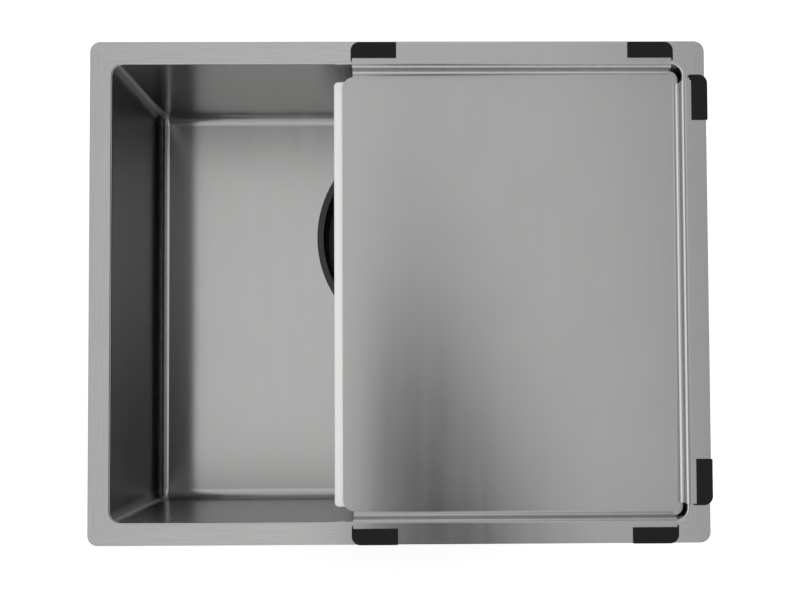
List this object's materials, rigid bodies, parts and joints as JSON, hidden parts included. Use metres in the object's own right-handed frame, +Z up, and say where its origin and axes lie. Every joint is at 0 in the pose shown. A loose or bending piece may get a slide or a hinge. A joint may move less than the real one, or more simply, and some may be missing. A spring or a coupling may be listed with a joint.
{
  "type": "kitchen sink",
  "caption": "Rectangular steel kitchen sink with flat rim, hanging steel tray on silicone sleeves over a plastic board, wide waste with strainer basket, and overflow.",
  "frame": {"origin": "middle of the worktop opening, in the plane on which the underside of the rim rests", "axes": "+X to the right along the long side, +Y to the back, +Z up out of the bowl"},
  "size_m": [0.5417, 0.4529, 0.3361],
  "materials": {
    "bowl_steel": "brushed stainless steel",
    "tray_steel": "brushed stainless steel, grain across the bed",
    "small_steel": "turned stainless steel",
    "bail_steel": "polished stainless wire",
    "rail_steel": "galvanised steel",
    "basket_plastic": "black moulded plastic",
    "collar_plastic": "dark grey moulded composite",
    "pot_plastic": "black moulded polypropylene",
    "pipe_plastic": "dark grey polypropylene",
    "nut_plastic": "black moulded plastic",
    "board_plastic": "white polyethylene",
    "gasket_rubber": "soft black rubber",
    "pad_rubber": "bitumen damping sheet",
    "sleeve_silicone": "black matt silicone"
  },
  "bodies": {
    "root": {"sink_bowl": "bowl_steel", "back_fixing_rail": "rail_steel", "front_fixing_rail": "rail_steel", "left_fixing_rail": "rail_steel", "right_fixing_rail": "rail_steel", "back_sound_pad": "pad_rubber", "front_sound_pad": "pad_rubber", "left_sound_pad": "pad_rubber", "right_sound_pad": "pad_rubber", "floor_sound_pad": "pad_rubber", "waste_collar": "collar_plastic", "collar_gasket": "gasket_rubber", "collar_studs": "small_steel", "collar_nuts": "small_steel", "waste_pot": "pot_plastic", "pot_gasket": "gasket_rubber", "ring_nut": "nut_plastic", "outlet_tail": "pot_plastic", "tail_gasket": "gasket_rubber", "tail_nut": "nut_plastic", "overflow_plate": "small_steel", "overflow_screws": "small_steel", "overflow_gasket": "gasket_rubber", "overflow_housing": "pot_plastic", "overflow_pipe": "pipe_plastic", "upper_pipe_nut": "nut_plastic", "lower_pipe_nut": "nut_plastic", "upper_pipe_seal": "gasket_rubber", "lower_pipe_seal": "gasket_rubber"},
    "tray_body": {"tray": "tray_steel", "tray_board": "board_plastic", "board_studs": "small_steel", "board_nuts": "small_steel", "sleeve_back_left": "sleeve_silicone", "sleeve_back_right": "sleeve_silicone", "sleeve_front_left": "sleeve_silicone", "sleeve_front_right": "sleeve_silicone", "sleeve_right_back": "sleeve_silicone", "sleeve_right_front": "sleeve_silicone"},
    "basket_body": {"strainer_basket": "basket_plastic"},
    "bail_body": {"basket_bail": "bail_steel"}
  },
  "joints": [
    {"name": "tray_slide", "type": "slide", "parent": "root", "child": "tray_body", "axis": [-1, 0, 0], "range_m": [0, 0.19]},
    {"name": "basket_lift", "type": "slide", "parent": "root", "child": "basket_body", "axis": [0, 0, 1], "range_m": [0, 0.1]},
    {"name": "bail_swing", "type": "hinge", "parent": "basket_body", "child": "bail_body", "pos_m": [0.0277, 0.0714, -0.2249], "axis": [0, -1, 0], "range_deg": [0, 180]}
  ]
}
